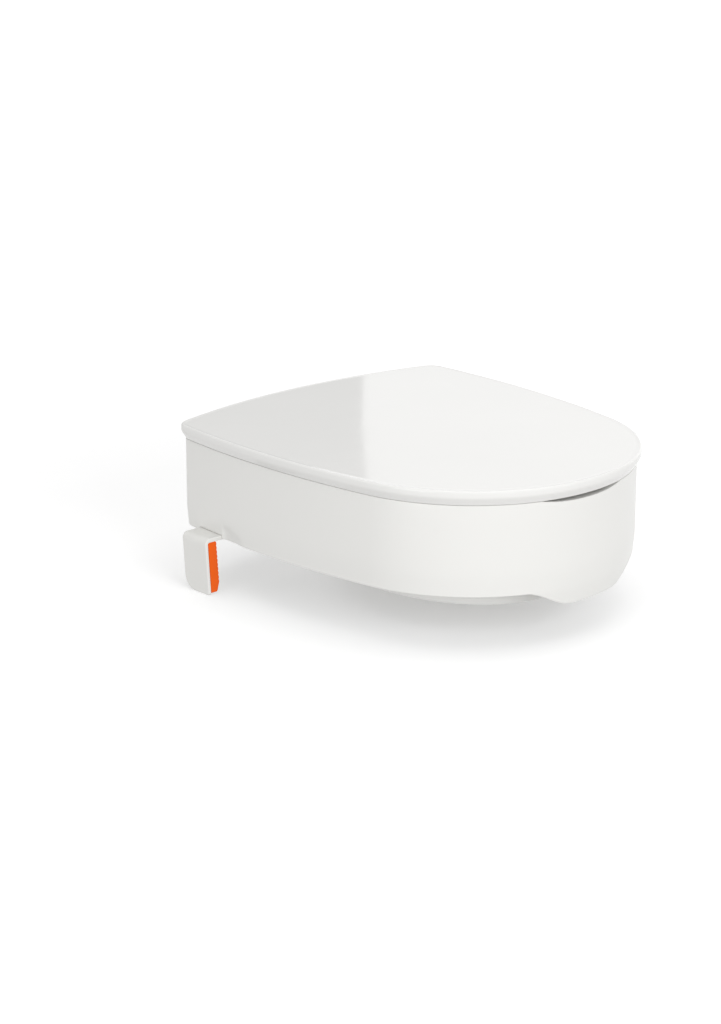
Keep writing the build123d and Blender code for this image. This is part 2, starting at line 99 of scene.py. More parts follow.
lid_low, lid_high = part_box("lid")
focus = Vector((0, FOCUS_Y, lid_high.z))
cam_data = bpy.data.cameras.new("camera")
cam_data.lens = CAMERA_LENS
cam_data.sensor_width = CAMERA_SENSOR
cam_data.sensor_fit = "AUTO"
cam_data.clip_end = 100
camera = link(bpy.data.objects.new("camera", cam_data))
camera.location = focus + direction(*CAMERA_STAND) * CAMERA_DISTANCE
camera.rotation_euler = (-direction(*CAMERA_LOOK)).to_track_quat("-Z", "Y").to_euler()
bpy.context.scene.camera = camera


# ---------------------------------------------------------------- materials
def new_material(name, colour, roughness, specular=0.5):
    mat = bpy.data.materials.new(name)
    mat.use_nodes = True
    shader = mat.node_tree.nodes["Principled BSDF"]
    shader.inputs["Base Color"].default_value = (*colour, 1)
    shader.inputs["Roughness"].default_value = roughness
    shader.inputs["Specular IOR Level"].default_value = specular
    return mat, mat.node_tree, shader


def noise(tree, scale, detail):
    """Noise fixed to the object, in cells per metre."""
    coords = tree.nodes.new("ShaderNodeTexCoord")
    tex = tree.nodes.new("ShaderNodeTexNoise")
    tex.inputs["Scale"].default_value = scale
    tex.inputs["Detail"].default_value = detail
    tree.links.new(coords.outputs["Object"], tex.inputs["Vector"])
    return tex.outputs["Fac"]


def ramp(tree, fac, low, high, start=0.3, end=0.7):
    """Straight ramp from low to high while fac goes from start to end."""
    node = tree.nodes.new("ShaderNodeMapRange")
    node.inputs["From Min"].default_value = start
    node.inputs["From Max"].default_value = end
    node.inputs["To Min"].default_value = low
    node.inputs["To Max"].default_value = high
    tree.links.new(fac, node.inputs["Value"])
    return node.outputs["Result"]


def blend_colours(tree, fac, a, b):
    mix = tree.nodes.new("ShaderNodeMix")
    mix.data_type = "RGBA"
    mix.inputs["A"].default_value = (*a, 1)
    mix.inputs["B"].default_value = (*b, 1)
    tree.links.new(fac, mix.inputs["Factor"])
    return mix.outputs["Result"]


def bump(tree, shader, height, strength, distance):
    node = tree.nodes.new("ShaderNodeBump")
    node.inputs["Strength"].default_value = strength
    node.inputs["Distance"].default_value = distance
    tree.links.new(height, node.inputs["Height"])
    tree.links.new(node.outputs["Normal"], shader.inputs["Normal"])


CLOUD, GLOSS_CLOUD, GRAIN_STRENGTH = 9, 38, 0.35


def plastic(name, colour, roughness, spread, grain_scale, grain_height, tint=0.985, **more):
    """Moulded plastic: faint mottling in colour and gloss over a fine moulded grain."""
    mat, tree, shader = new_material(name, colour, roughness, **more)
    darker = tuple(c * tint for c in colour)
    shade = blend_colours(tree, ramp(tree, noise(tree, CLOUD, 4), 0, 1), darker, colour)
    gloss = ramp(tree, noise(tree, GLOSS_CLOUD, 5), roughness - spread, roughness + spread)
    tree.links.new(shade, shader.inputs["Base Color"])
    tree.links.new(gloss, shader.inputs["Roughness"])
    bump(tree, shader, noise(tree, grain_scale, 2), GRAIN_STRENGTH, grain_height)
    return mat


lid_white = plastic("lid_white", (0.845, 0.84, 0.822), 0.07, 0.015, 260, 0.00001)
seat_white = plastic("seat_white", (0.84, 0.836, 0.812), 0.3, 0.02, 420, 0.00001)
bracket_white = plastic("bracket_white", (0.84, 0.834, 0.806), 0.22, 0.02, 420, 0.00001)
inner_white = plastic("inner_white", (0.76, 0.76, 0.75), 0.45, 0.05, 1200, 0.00006)
lever_grey = plastic("lever_grey", (0.2, 0.21, 0.22), 0.42, 0.05, 1300, 0.00008, tint=0.9)
orange = plastic("grip_orange", (0.97, 0.13, 0.004), 0.5, 0.06, 1500, 0.0001, tint=0.94, specular=0.2)
pad_grey = plastic("pad_grey", (0.42, 0.43, 0.44), 0.7, 0.06, 1800, 0.0002, tint=0.85)
buffer_white = plastic("buffer_white", (0.7, 0.7, 0.68), 0.38, 0.05, 800, 0.00005)


def steel_material():
    """Brushed steel of the screws and pins."""
    mat, tree, shader = new_material("steel", (0.62, 0.62, 0.61), 0.3)
    shader.inputs["Metallic"].default_value = 1
    tree.links.new(ramp(tree, noise(tree, 220, 5), 0.22, 0.4), shader.inputs["Roughness"])
    bump(tree, shader, noise(tree, 900, 2), 0.3, 0.00004)
    return mat


steel = steel_material()


def paint(obj, mat):
    """Give the whole object this material."""
    if not obj.material_slots:
        obj.data.materials.append(mat)
    for slot in obj.material_slots:
        slot.material = mat


LOOKS = {"lid_plastic": lid_white, "seat_plastic": seat_white, "inner_plastic": inner_white,
         "lever_plastic": lever_grey, "grip_rubber": orange, "pad_rubber": pad_grey,
         "buffer_rubber": buffer_white, "steel": steel}
for sub in frame["record"]["subparts"]:
    paint(frame["nodes"][sub["node"]], LOOKS[sub["material_slot"]])


# ---------------------------------------------------------------- plan outline, in millimetres
# Tangent arcs from the nose (-Y) round one side to the rear, as (radius, normal angle at the end).
SIDE_R = 896
CHAIN = [(192, 5), (164, 79.5), (SIDE_R, 96), (18, None), (604, 180)]
NOSE_Y = lid_low.y / MM
STEPS = (3, 62, 74, 14, 44)
BRACKET_Y = 139.5  # middle of the bracket's arm
PLATE_Y, PLATE_HALF, NOTCH_HALF = 141.5, 18.5, 18.9  # middle and half width of its plate and notch
NOTCH_STEPS = (-3.2, -1.8, -0.9, -0.3, 0.3, 0.9, 1.8, 3.2)  # extra points at each end of the notch
SIDE_X = 100  # further out than this is the side of the seat


def outline_samples():
    """Arrays (centre, radius, normal) of points all round the outline, starting at the nose."""
    rows = []
    centre, start = np.array([0.0, NOSE_Y + CHAIN[0][0]]), 0.0
    for k, (radius, end) in enumerate(CHAIN):
        if end is None:
            end = 180 - np.degrees(asin(centre[0] / (CHAIN[k + 1][0] - radius)))
        angles = list(np.linspace(start, end, STEPS[k] + 1)[:-1])
        if radius == SIDE_R:
            ys = np.array([PLATE_Y + s * NOTCH_HALF + d for s in (-1, 1) for d in NOTCH_STEPS])
            angles = sorted(angles + list(np.degrees(np.arccos((centre[1] - ys) / (radius - 5)))))
        rows += [(centre[0], centre[1], radius, a) for a in angles]
        if k + 1 < len(CHAIN):
            normal = np.array([sin(radians(end)), -cos(radians(end))])
            centre = centre + normal * (radius - CHAIN[k + 1][0])
        start = end
    rows.append((0.0, centre[1], CHAIN[-1][0], 180.0))
    half = np.array(rows)
    other = half[1:-1][::-1] * [-1, 1, 1, -1]
    full = np.vstack([half, other])
    angle = np.radians(full[:, 3])
    return full[:, :2], full[:, 2], np.stack([np.sin(angle), -np.cos(angle)], 1)


CENTRES, RADII, NORMALS = outline_samples()
COUNT = len(RADII)


def outline(inset=0.0):
    """(COUNT, 2) points of the outline, moved in by inset (a number or one per point)."""
    return CENTRES + NORMALS * (RADII - inset)[:, None]


def smooth(t):
    """Soft step from 0 to 1."""
    t = np.clip(t, 0, 1)
    return t * t * (3 - 2 * t)


def quarter(steps):
    """Angles from 0 to 90 degrees."""
    return [k / steps * pi / 2 for k in range(steps + 1)]


def ring(points, z):
    """The plan points at this height, or at one height each."""
    return np.column_stack([points, np.broadcast_to(z, len(points))])


def skin(name, rings, closed=False, cap_start=None, cap_end=None):
    """Mesh over a list of equal rings, in millimetres; caps are single points at the ends."""
    n = len(rings[0])
    verts = np.vstack(rings) * MM
    faces = []
    count = len(rings)
    for j in range(count if closed else count - 1):
        a, b = j * n, (j + 1) % count * n
        faces += [(a + i, a + (i + 1) % n, b + (i + 1) % n, b + i) for i in range(n)]
    verts = [tuple(v) for v in verts]
    if cap_start is not None:
        verts.append(tuple(np.array(cap_start) * MM))
        faces += [((i + 1) % n, i, len(verts) - 1) for i in range(n)]
    if cap_end is not None:
        verts.append(tuple(np.array(cap_end) * MM))
        base = (count - 1) * n
        faces += [(base + i, base + (i + 1) % n, len(verts) - 1) for i in range(n)]
    return mesh_object(name, verts, faces)


def finish_mesh(obj):
    """Weld, point every face outwards, and keep the edges sharper than 50 degrees."""
    bm = bmesh.new()
    bm.from_mesh(obj.data)
    bmesh.ops.remove_doubles(bm, verts=bm.verts, dist=1e-7)
    bmesh.ops.recalc_face_normals(bm, faces=bm.faces)
    bm.to_mesh(obj.data)
    bm.free()
    obj.data.polygons.foreach_set("use_smooth", [True] * len(obj.data.polygons))
    sharpen(obj, 50)
    return obj


# ---------------------------------------------------------------- seat shell
seat_low, seat_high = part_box("seat_shell")
SEAT_TOP = seat_high.z / MM
WELL_BOTTOM = seat_low.z / MM
SKIRT_BOTTOM, APRON_BOTTOM = 1.5, -15.8
APRON_X, APRON_HALF_TOP, APRON_HALF_BOTTOM = 17.5, 79.5, 36.5
BODY_INSET, TUCK, TUCK_TOP = 4.5, 1.6, 26.0
WALL, SEAT_PLATE, SEAT_EDGE_R = 3.2, 4.0, 0.5
OPENING, OPENING_Y, OPENING_R = (104, 134), -22, 6
WELL_DRAFT = 8.0
DISH, DIP_DEPTH, DIP_HALF = 3.0, 3.8, 52.5
SCOOP_LENGTH, SCOOP_HEIGHT, SCOOP_DEPTH = 34.0, 17.0, 1.8
NOTCH_TOP, FOOT_EDGE_R = 5.25, 0.7
# a ring just over the foot: its height, its height on the tongue, and its rise over a notch
CREASE, APRON_CREASE, NOTCH_CREASE = 4.2, 1.7, 3.2
SKIRT_LEVELS = (80, 66, 52, 40, 33, 28, 24, 20, 16.5, 13.5, 11)
WELL_OUTSIDE = (70, 50, 30, 10, -10, -20, WELL_BOTTOM + 1.4)
WELL_INSIDE = (WELL_BOTTOM + 1.8, -20, -10, 5, 20, 35, 50, 63, 73)


def skirt_inset(z):
    """Draft of the skirt's foot, and more of it on the apron below the crease."""
    t = np.clip((TUCK_TOP - z) / (TUCK_TOP - SKIRT_BOTTOM), 0, 1)
    foot = TUCK * (t * t * (2 - t))
    return BODY_INSET + foot + np.maximum(SKIRT_BOTTOM - z, 0) * 0.19


def scoop(y, z):
    """Soft recess in the skirt's foot in front of each bracket."""
    along = np.maximum(PLATE_Y - NOTCH_HALF - y, 0) / SCOOP_LENGTH
    up = np.maximum(z - SKIRT_BOTTOM, 0) / SCOOP_HEIGHT
    return SCOOP_DEPTH * smooth(along * 6) * smooth((1 - np.sqrt(along**2 + up**2)) * 2.2)


def dip(x, y):
    """Shallow hollow for the fingers across the seat's front edge."""
    return DIP_DEPTH * np.clip(1 - np.abs(x / DIP_HALF) ** 2.4, 0, None) * smooth((-y - 30) / 40)


def oval(grow, z):
    """Ring on the tapered well at height z, point by point opposite the outline's."""
    shrink = WELL_DRAFT * (SEAT_TOP - z) / (SEAT_TOP - WELL_BOTTOM)
    a, b = OPENING[0] - shrink + grow, OPENING[1] - shrink + grow
    way = outline(BODY_INSET) - [0, OPENING_Y]
    way /= np.linalg.norm(way, axis=1)[:, None]
    reach = a * b / np.sqrt((b * way[:, 0]) ** 2 + (a * way[:, 1]) ** 2)
    return way * reach[:, None] + [0, OPENING_Y]


def wall_ring(z, depth=0.0):
    """Ring on the skirt's outer face at height z, moved in by depth."""
    x, y = outline(BODY_INSET).T
    cut = scoop(y, z) * (np.abs(x) > SIDE_X)
    return ring(outline(skirt_inset(z) + cut + depth), z)


def tongue_and_notch(x, y):
    """How much of the tongue, and of a notch over a bracket, there is at each point: 0 to 1."""
    across = np.clip((APRON_HALF_TOP - np.abs(x - APRON_X)) / (APRON_HALF_TOP - APRON_HALF_BOTTOM), 0, 1)
    tongue = np.where(y < 0, 0.55 * across + 0.45 * smooth(across), 0)
    notch = smooth(NOTCH_HALF + 0.5 - np.abs(y - PLATE_Y)) * (np.abs(x) > SIDE_X)
    return tongue, notch


def skirt_rings():
    """Down the skirt's outer face from its top edge, round its foot, and up inside to the ceiling."""
    x, y = outline(BODY_INSET).T
    tongue, notch = tongue_and_notch(x, y)
    low = SKIRT_BOTTOM + (APRON_BOTTOM - SKIRT_BOTTOM) * tongue + (NOTCH_TOP - SKIRT_BOTTOM) * notch
    foot, r = low + FOOT_EDGE_R, FOOT_EDGE_R
    crease = CREASE + (APRON_CREASE - CREASE) * tongue + NOTCH_CREASE * notch
    top = SEAT_TOP - dip(x, y)
    rings = [ring(outline(BODY_INSET + SEAT_EDGE_R * (1 - sin(a))), top - SEAT_EDGE_R * (1 - cos(a)))
             for a in quarter(5)]
    rings += [wall_ring(np.full(COUNT, float(z))) for z in SKIRT_LEVELS]
    last = SKIRT_LEVELS[-1]
    rings += [wall_ring(last + (crease - last) * t) for t in (0.35, 0.7, 1.0)]
    rings += [wall_ring(crease + (foot - crease) * t) for t in (0.34, 0.67)]
    rings += [ring(wall_ring(foot, r * (1 - cos(a)))[:, :2], foot - r * sin(a)) for a in quarter(4)]
    rings += [ring(wall_ring(foot, WALL - r * (1 - sin(a)))[:, :2], foot - r * cos(a)) for a in quarter(4)]
    ceiling = SEAT_TOP - SEAT_PLATE - dip(x, y)
    for t in (0.3, 0.7, 1.0):
        z = foot + (ceiling - foot) * t
        rings.append(ring(outline(skirt_inset(z) + WALL), z))
    return rings


def ceiling_rings(edge):
    """From this last ring of the skirt's inside across the ceiling to the well."""
    inner, ceiling = edge[:, :2], edge[:, 2]
    middle = SEAT_TOP - SEAT_PLATE - DISH
    well = oval(WALL, middle)
    rings = []
    for t in (0.33, 0.66, 1.0):
        z = ceiling + (middle - dip(*well.T) - ceiling) * t
        rings.append(ring(inner + (well - inner) * t, z))
    return rings


def well_rings():
    """Down the well's outside, round its rolled foot, and up its inside."""
    rings = [ring(oval(WALL, z), z) for z in WELL_OUTSIDE]
    r = WALL / 2
    for k in range(1, 8):
        a = k / 8 * pi
        rings.append(ring(oval(r + r * cos(a), WELL_BOTTOM + r), WELL_BOTTOM + r - r * sin(a)))
    return rings + [ring(oval(0, z), z) for z in WELL_INSIDE]


def seat_rings():
    """Over the rounded edge of the opening and out across the dished seat."""
    lip = oval(OPENING_R, SEAT_TOP)
    lip_z = SEAT_TOP - DISH - dip(*lip.T)
    rings = [ring(oval(OPENING_R * (1 - cos(a)), SEAT_TOP), lip_z - OPENING_R * (1 - sin(a)))
             for a in quarter(8)]
    outer = outline(BODY_INSET + SEAT_EDGE_R)
    for t in np.linspace(0, 1, 15)[1:-1]:
        p = lip + (outer - lip) * t
        rings.append(ring(p, SEAT_TOP - DISH * smooth(1.08 * (1 - t)) - dip(*p.T)))
    return rings


def seat_shell():
    """Seat, skirt and well in one closed skin."""
    skirt = skirt_rings()
    rings = skirt + ceiling_rings(skirt[-1]) + well_rings() + seat_rings()
    return finish_mesh(skin("seat_moulding", rings, closed=True))


# ---------------------------------------------------------------- lid
LID_TOP, LID_EDGE = lid_high.z / MM, 92.0
LID_R, LID_CROWN, CROWN_SINK = 2.4, 1.1, 0.25
LID_BEVEL_TOP, LID_LIP = 99.0, 8.5
LID_CEILING = LID_TOP - 3.2
LID_CENTRE = np.array([0.0, -10.0])
CROWN_STEPS = (0.03, 0.1, 0.2, 0.32, 0.44, 0.56, 0.68, 0.79, 0.88, 0.94, 0.98)
CEILING_STEPS = (0.9, 0.75, 0.6, 0.45, 0.3, 0.15, 0.03)
# (inset, height) down the rim's face, round its foot and up its inside to the ceiling
RIM_PROFILE = ((0, 103), (0, 100.6), (0.12, 99.6), (0.6, 98.4), (1.5, 96.9), (2.6, 95.2), (3.6, 93.6),
               (4.4, 92.1), (4.7, 91.6), (5.2, 91.45), (6.6, 91.4), (7.6, 91.5), (8.2, 92), (LID_LIP, 93),
               (LID_LIP, 96), (LID_LIP, 99.5), (8.8, 101.6), (9.8, 102.9), (11.5, LID_CEILING))


def lid_cover():
    """Crowned top, rounded rim and hollow underside of the lid in one skin."""
    top, inner = outline(LID_R), outline(RIM_PROFILE[-1][0])
    crown = LID_TOP - CROWN_SINK
    rings = [ring(LID_CENTRE + (top - LID_CENTRE) * u, crown + LID_CROWN * (1 - u * u)) for u in CROWN_STEPS]
    for a in quarter(8):
        z = LID_TOP - CROWN_SINK * (a == 0) - LID_R * (1 - cos(a))
        rings.append(ring(outline(LID_R * (1 - sin(a))), z))
    rings += [ring(outline(inset), z) for inset, z in RIM_PROFILE]
    rings += [ring(LID_CENTRE + (inner - LID_CENTRE) * u, LID_CEILING) for u in CEILING_STEPS]
    return finish_mesh(skin("lid_cover", rings, cap_start=(*LID_CENTRE, crown + LID_CROWN),
                            cap_end=(*LID_CENTRE, LID_CEILING)))


# ---------------------------------------------------------------- hinge ears and underside of the lid
RIB_PLACES, RIB_HEIGHT = (-120, -60, 0, 60, 120), 3.5
RIB_FOOT, RIB_ROOT = 0.6, 1.1  # half widths at the free edge and where the rib joins the lid
HINGE_Y, HINGE_Z, EAR_R, EAR_IN, EAR_OUT, BORE_R = 213.5, 85.5, 5.5, 60.4, 83.6, 3.05


def pushed_out(name, bm, way):
    """Object made by extruding the mesh's faces along way, in millimetres."""
    moved = bmesh.ops.extrude_face_region(bm, geom=bm.faces[:])["geom"]
    corners = [g for g in moved if isinstance(g, bmesh.types.BMVert)]
    bmesh.ops.translate(bm, verts=corners, vec=Vector(way) * MM)
    bmesh.ops.recalc_face_normals(bm, faces=bm.faces)
    mesh = bpy.data.meshes.new(name)
    bm.to_mesh(mesh)
    bm.free()
    return link(bpy.data.objects.new(name, mesh))


def round_edges(obj, radius, segments, angle):
    """Round the edges that turn by more than this angle."""
    rounding = obj.modifiers.new("edges", "BEVEL")
    rounding.width = radius * MM
    rounding.segments = segments
    rounding.limit_method = "ANGLE"
    rounding.angle_limit = radians(angle)


def prism(name, points, x0, x1, radius, hole=None):
    """Solid of a side-view outline (y, z) between two x planes, with rounded edges."""
    bm = bmesh.new()
    loops = [points] + ([hole] if hole else [])
    edges = []
    for loop in loops:
        vs = [bm.verts.new((x0 * MM, y * MM, z * MM)) for y, z in loop]
        edges += [bm.edges.new((a, b)) for a, b in zip(vs, vs[1:] + vs[:1])]
    bmesh.ops.triangle_fill(bm, use_beauty=True, use_dissolve=True, edges=edges)
    obj = pushed_out(name, bm, (x1 - x0, 0, 0))
    round_edges(obj, radius, 3, 35)
    obj.data.polygons.foreach_set("use_smooth", [True] * len(obj.data.polygons))
    sharpen(obj, 40)
    return obj


def circle(cy, cz, r, n, start=0, end=360):
    """Points (y, z) of a circle, or of an arc with both its ends."""
    angles = np.radians(np.linspace(start, end, n, endpoint=end - start < 360))
    return [(cy + r * cos(a), cz + r * sin(a)) for a in angles]


def hinge_ear(side):
    """Knuckle round the hinge pin with a web that runs up into the lid's rim."""
    knuckle = circle(HINGE_Y, HINGE_Z, EAR_R, 20, -180, 0)
    # up the web's back, over its top and down its front
    web = [(HINGE_Y + EAR_R, HINGE_Z), (HINGE_Y + 4.6, HINGE_Z + 4), (HINGE_Y + 0.6, LID_BEVEL_TOP - 2),
           (HINGE_Y - 2.6, LID_BEVEL_TOP + 1.6), (HINGE_Y - 11, LID_BEVEL_TOP + 3),
           (HINGE_Y - 11, LID_EDGE + 4), (HINGE_Y - EAR_R, LID_EDGE)]
    hole = circle(HINGE_Y, HINGE_Z, BORE_R, 28)
    x0, x1 = sorted((side * EAR_IN, side * EAR_OUT))
    name = f"hinge_ear_{'left' if side > 0 else 'right'}"
    return prism(name, knuckle[:-1] + web, x0, x1, 0.6, hole=hole)


def lid_ribs():
    """Low stiffening ribs across the inside of the lid, narrower at their free edge."""
    made = []
    for k, y in enumerate(RIB_PLACES):
        inside = outline(LID_LIP + 1.5)
        half = np.abs(inside[np.argmin(np.abs(inside[:, 1] - y) + 1000 * (inside[:, 0] < 0)), 0])
        low, high = LID_CEILING - RIB_HEIGHT, LID_CEILING + 0.5
        points = [(y - RIB_FOOT, low), (y + RIB_FOOT, low), (y + RIB_ROOT, high), (y - RIB_ROOT, high)]
        made.append(prism(f"lid_rib_{k}", points, -half, half, 0.4))
    return made


# ---------------------------------------------------------------- side brackets
ARM_BOTTOM, ARM_TOP = 1.0, 5.0
LEG_LEAN, LEG_T, FLANGE_T = radians(3.6), 3.0, 4.0
BEND_R, EDGE_R, INNER_EDGE_R = 6.0, 1.1, 0.5
FRONT_CORNER_R, REAR_CORNER_R, ROOT_CORNER_R = 3.0, 14.0, 0.4
FLANGE_IN = 166.0
CORNER_STEPS, LONG_STEPS, SHORT_STEPS = 8, 56, 16
MIN_CORNER_R = 0.15
OUTSIDE_LOOPS, INSIDE_LOOPS = (16, 12, 8, 5, 3, 1.8), (1.5, 4, 8, 12, 16)  # how far in from the edge


def rounded_loop(length, half, radii, shrink):
    """Rectangle (0..length by +-half) moved in by shrink, with the corner radii in order.

    Every loop has the same number of points, so loops of one plate can be joined face by face.
    """
    corners = [(0, -half, 180), (length, -half, 270), (length, half, 0), (0, half, 90)]
    arcs = []
    for (s, y, base), r in zip(corners, radii):
        small = max(r - shrink, MIN_CORNER_R)
        middle_s = s + (shrink + small) * (1 if s == 0 else -1)
        middle_y = y + (shrink + small) * (1 if y < 0 else -1)
        turn = np.radians(np.linspace(base, base + 90, CORNER_STEPS + 1))
        arcs.append(np.column_stack([middle_s + small * np.cos(turn), middle_y + small * np.sin(turn)]))
    points = []
    for k, arc in enumerate(arcs):
        following = arcs[(k + 1) % 4][0]
        steps = LONG_STEPS if k % 2 == 0 else SHORT_STEPS
        points += [arc, arc[-1] + (following - arc[-1]) * np.arange(1, steps)[:, None] / steps]
    return np.vstack(points)


def bracket_plate(side):
    """Bent plate of the top flange and the leaning leg, with round corners and soft edges."""
    low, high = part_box("bracket_left")
    tip_x, leg_bottom = high.x / MM, low.z / MM
    turn = pi / 2 - LEG_LEAN
    corner_x = tip_x - BEND_R * tan(turn / 2)
    flat = corner_x - FLANGE_IN
    curved = BEND_R * turn
    down = (ARM_TOP - BEND_R * (1 - cos(turn)) - leg_bottom) / cos(LEG_LEAN)
    length = flat + curved + down

    def place(s, y, depth):
        """Point of the bent sheet: s runs from the flange's root over the bend and down the leg."""
        if s <= flat:
            x, z, nx, nz = FLANGE_IN + s, ARM_TOP, 0, 1
        elif s <= flat + curved:
            a = (s - flat) / BEND_R
            nx, nz = sin(a), cos(a)
            x, z = corner_x + BEND_R * nx, ARM_TOP - BEND_R + BEND_R * nz
        else:
            nx, nz = cos(LEG_LEAN), sin(LEG_LEAN)
            run = s - flat - curved
            x = corner_x + BEND_R * nx - run * sin(LEG_LEAN)
            z = ARM_TOP - BEND_R + BEND_R * nz - run * cos(LEG_LEAN)
        return side * (x - nx * depth), PLATE_Y + y, z - nz * depth

    def thickness(s):
        return FLANGE_T + (LEG_T - FLANGE_T) * float(smooth((s - flat) / curved))

    def loop(shrink):
        radii = (ROOT_CORNER_R, FRONT_CORNER_R, REAR_CORNER_R, ROOT_CORNER_R)
        return rounded_loop(length, PLATE_HALF, radii, shrink)

    # the innermost loop closes on the plate's middle line
    inmost = PLATE_HALF - 2 * MIN_CORNER_R
    spine = loop(inmost)
    spine[:, 0] = np.clip(spine[:, 0], inmost + MIN_CORNER_R, length - inmost - MIN_CORNER_R)
    spine[:, 1] = 0
    rings = [[place(s, y, 0) for s, y in spine]]
    for shrink in (inmost, *OUTSIDE_LOOPS):
        rings.append([place(s, y, 0) for s, y in loop(shrink)])
    for a in quarter(5):
        rings.append([place(s, y, EDGE_R * (1 - cos(a))) for s, y in loop(EDGE_R * (1 - sin(a)))])
    for a in quarter(5):
        up, shrink = INNER_EDGE_R * (1 - sin(a)), INNER_EDGE_R * (1 - cos(a))
        rings.append([place(s, y, thickness(s) - up) for s, y in loop(shrink)])
    for shrink in (*INSIDE_LOOPS, inmost):
        rings.append([place(s, y, thickness(s)) for s, y in loop(shrink)])
    rings.append([place(s, y, thickness(s)) for s, y in spine])
    name = f"bracket_plate_{'left' if side > 0 else 'right'}"
    return finish_mesh(skin(name, [np.array(points) for points in rings]))


WING_OUT, WING_HALF, WING_TOP, ARM_IN, ARM_HALF = 128.0, 20.0, 7.5, 30.0, 16.0
ARM_CHAMFER = 3.0
TOOTH, TOOTH_PITCH, TEETH, TEETH_OUT = 0.9, 3.0, 27, 142.0


def extruded(name, points, z0, z1, radius):
    """Solid of a plan outline (x, y) between two heights, with rounded edges."""
    bm = bmesh.new()
    bm.faces.new([bm.verts.new((x * MM, y * MM, z0 * MM)) for x, y in points])
    obj = pushed_out(name, bm, (0, 0, z1 - z0))
    round_edges(obj, radius, 2, 25)
    return obj


def bracket_arm(side):
    """Flat arm with its serrated edge, and the two wings that ride on the guide's lips."""
    tag = "left" if side > 0 else "right"
    front, rear = BRACKET_Y - ARM_HALF, BRACKET_Y + ARM_HALF
    points = [(FLANGE_IN + 1, front)]
    for i in range(TEETH):
        x = TEETH_OUT - i * TOOTH_PITCH
        points += [(x, front), (x - TOOTH_PITCH / 2, front + TOOTH)]
    points += [(TEETH_OUT - TEETH * TOOTH_PITCH, front), (ARM_IN + ARM_CHAMFER, front),
               (ARM_IN, front + ARM_CHAMFER), (ARM_IN, rear - ARM_CHAMFER), (ARM_IN + ARM_CHAMFER, rear),
               (FLANGE_IN + 1, rear)]
    arm = extruded(f"bracket_arm_{tag}", [(side * x, y) for x, y in points], ARM_BOTTOM, ARM_TOP, 0.25)
    y0, y1 = BRACKET_Y - WING_HALF, BRACKET_Y + WING_HALF
    plan = [(side * x, y) for x, y in ((ARM_IN, y0), (WING_OUT, y0), (WING_OUT, y1), (ARM_IN, y1))]
    wings = extruded(f"bracket_wings_{tag}", plan, ARM_TOP, WING_TOP, 0.5)
    return [arm, wings]


# ---------------------------------------------------------------- grip pads
GRIP_FACE_TOP, GRIP_FACE_BOTTOM = -0.8, -42.0
GRIP_T, GRIP_T_LOW, GRIP_T_TOP, GRIP_T_FOOT = 10.6, 11.0, 9.4, 7.6
GRIP_RIB, GRIP_RIB_PITCH, GRIP_EDGE_R = 0.45, 4.4, 0.9
GRIP_LEVELS = 72
SEAM = 0.02  # gap behind the pad


def grip_thickness(z, top, bottom):
    """Thickness at height z: a lead-in at each end and shallow grooves across the face."""
    heights = (bottom, GRIP_FACE_BOTTOM, GRIP_FACE_TOP, top)
    depth = float(np.interp(z, heights, (GRIP_T_FOOT, GRIP_T_LOW, GRIP_T, GRIP_T_TOP)))
    if GRIP_FACE_BOTTOM + 2 < z < GRIP_FACE_TOP - 2:
        wave = sin((z - GRIP_FACE_TOP) * 2 * pi / GRIP_RIB_PITCH)
        depth -= GRIP_RIB * max(0.0, wave) ** 0.6
    return depth


def corner_cut(rise, r):
    """How far a round corner of radius r cuts in at this height above the pad's foot."""
    return r - sqrt(r * r - (r - rise) ** 2) if rise < r else 0.0


def grip_pad(side):
    """Moulded grip: softly rounded block with shallow ribs across its gripping face."""
    low, high = (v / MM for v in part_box("grip_pad_left"))
    leg_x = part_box("bracket_left")[1].x / MM
    top, bottom = high.z - 0.1, low.z
    rings = []
    for z in np.linspace(top, bottom, GRIP_LEVELS + 1):
        outer = leg_x - (ARM_TOP - z) * tan(LEG_LEAN) - LEG_T - SEAM
        inner = outer - grip_thickness(z, top, bottom)
        front = low.y + corner_cut(z - bottom, FRONT_CORNER_R - 1)
        rear = high.y - corner_cut(z - bottom, REAR_CORNER_R - 1)
        points = []
        for x, y, base in ((outer, front, 270), (outer, rear, 0), (inner, rear, 90), (inner, front, 180)):
            middle_x = x + GRIP_EDGE_R * (-1 if x == outer else 1)
            middle_y = y + GRIP_EDGE_R * (1 if y == front else -1)
            points += [(side * (middle_x + GRIP_EDGE_R * cos(a)), middle_y + GRIP_EDGE_R * sin(a), z)
                       for a in np.radians(np.linspace(base, base + 90, 6))]
        rings.append(np.array(points))
    name = f"grip_{'left' if side > 0 else 'right'}"
    return finish_mesh(skin(name, rings, cap_start=rings[0].mean(0), cap_end=rings[-1].mean(0)))


# ---------------------------------------------------------------- build and place the pieces
def put(obj, body, mat, slot_name, *nodes):
    """Ride the piece on its body and paint it; it stands in for the CAD nodes that are named."""
    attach(obj, body)
    paint(obj, mat)
    if nodes:
        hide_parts(*nodes)


put(seat_shell(), "seat", seat_white, "seat_plastic", "seat_shell")
put(lid_cover(), "lid", lid_white, "lid_plastic", "lid")
for piece in lid_ribs() + [hinge_ear(1), hinge_ear(-1)]:
    put(piece, "lid", lid_white, "lid_plastic")
for side, tag in ((1, "left"), (-1, "right")):
    put(bracket_plate(side), f"bracket_{tag}", bracket_white, "seat_plastic", f"bracket_{tag}")
    for piece in bracket_arm(side):
        put(piece, f"bracket_{tag}", bracket_white, "seat_plastic")
    grip = grip_pad(side)
    put(grip, f"bracket_{tag}", orange, "grip_rubber", f"grip_pad_{tag}")
    grip.visible_diffuse = False  # keeps its colour from tinting the white floor
    grip.visible_glossy = False


